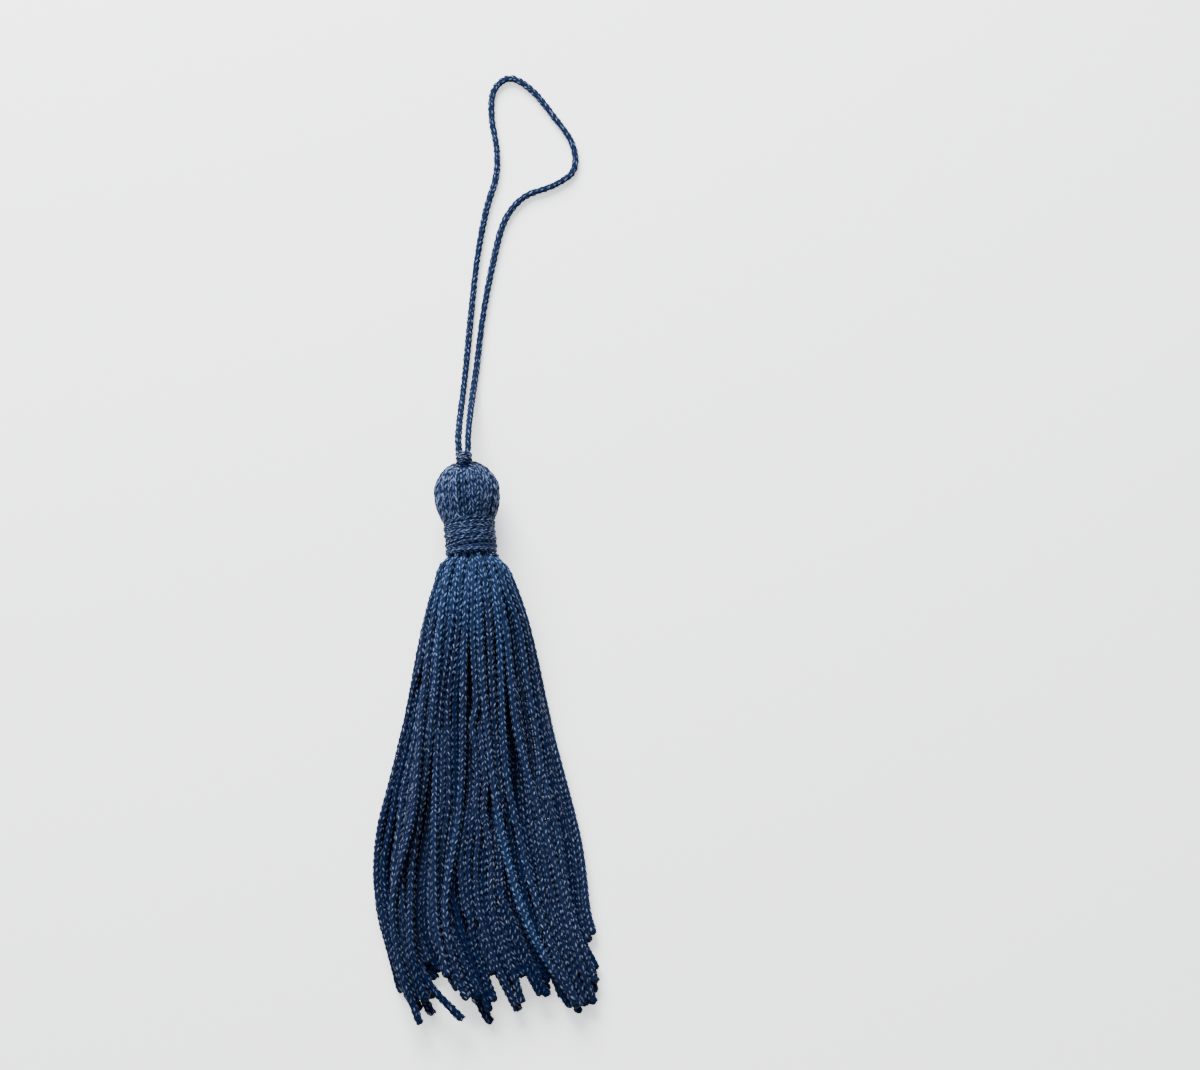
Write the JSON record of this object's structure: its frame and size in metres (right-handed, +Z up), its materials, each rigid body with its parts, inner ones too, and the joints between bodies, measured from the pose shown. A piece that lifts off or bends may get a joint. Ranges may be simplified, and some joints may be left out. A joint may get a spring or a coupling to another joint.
{
  "type": "tassel",
  "caption": "Yarn tassel lying on its back: ball head, bound neck, fanned skirt of knitted strands and a long doubled hanging loop.",
  "frame": {"origin": "bottom centre of the tassel without its hanging cord, on the surface it lies on", "axes": "+Y along the tassel from the skirt's ends to the head and loop, +Z up from the surface, +X to the right seen from above"},
  "size_m": [0.034, 0.1417, 0.0098],
  "materials": {
    "fringe_yarn": "navy polyester chainette, a fine knitted tube with a silky sheen",
    "wound_yarn": "the same navy chainette, wound tight",
    "cord_yarn": "the same navy chainette, as a cord and its knot"
  },
  "bodies": {
    "root": {"head_and_skirt": "fringe_yarn", "neck_binding": "wound_yarn", "hanging_loop": "cord_yarn", "loop_knot": "cord_yarn"}
  },
  "joints": []
}
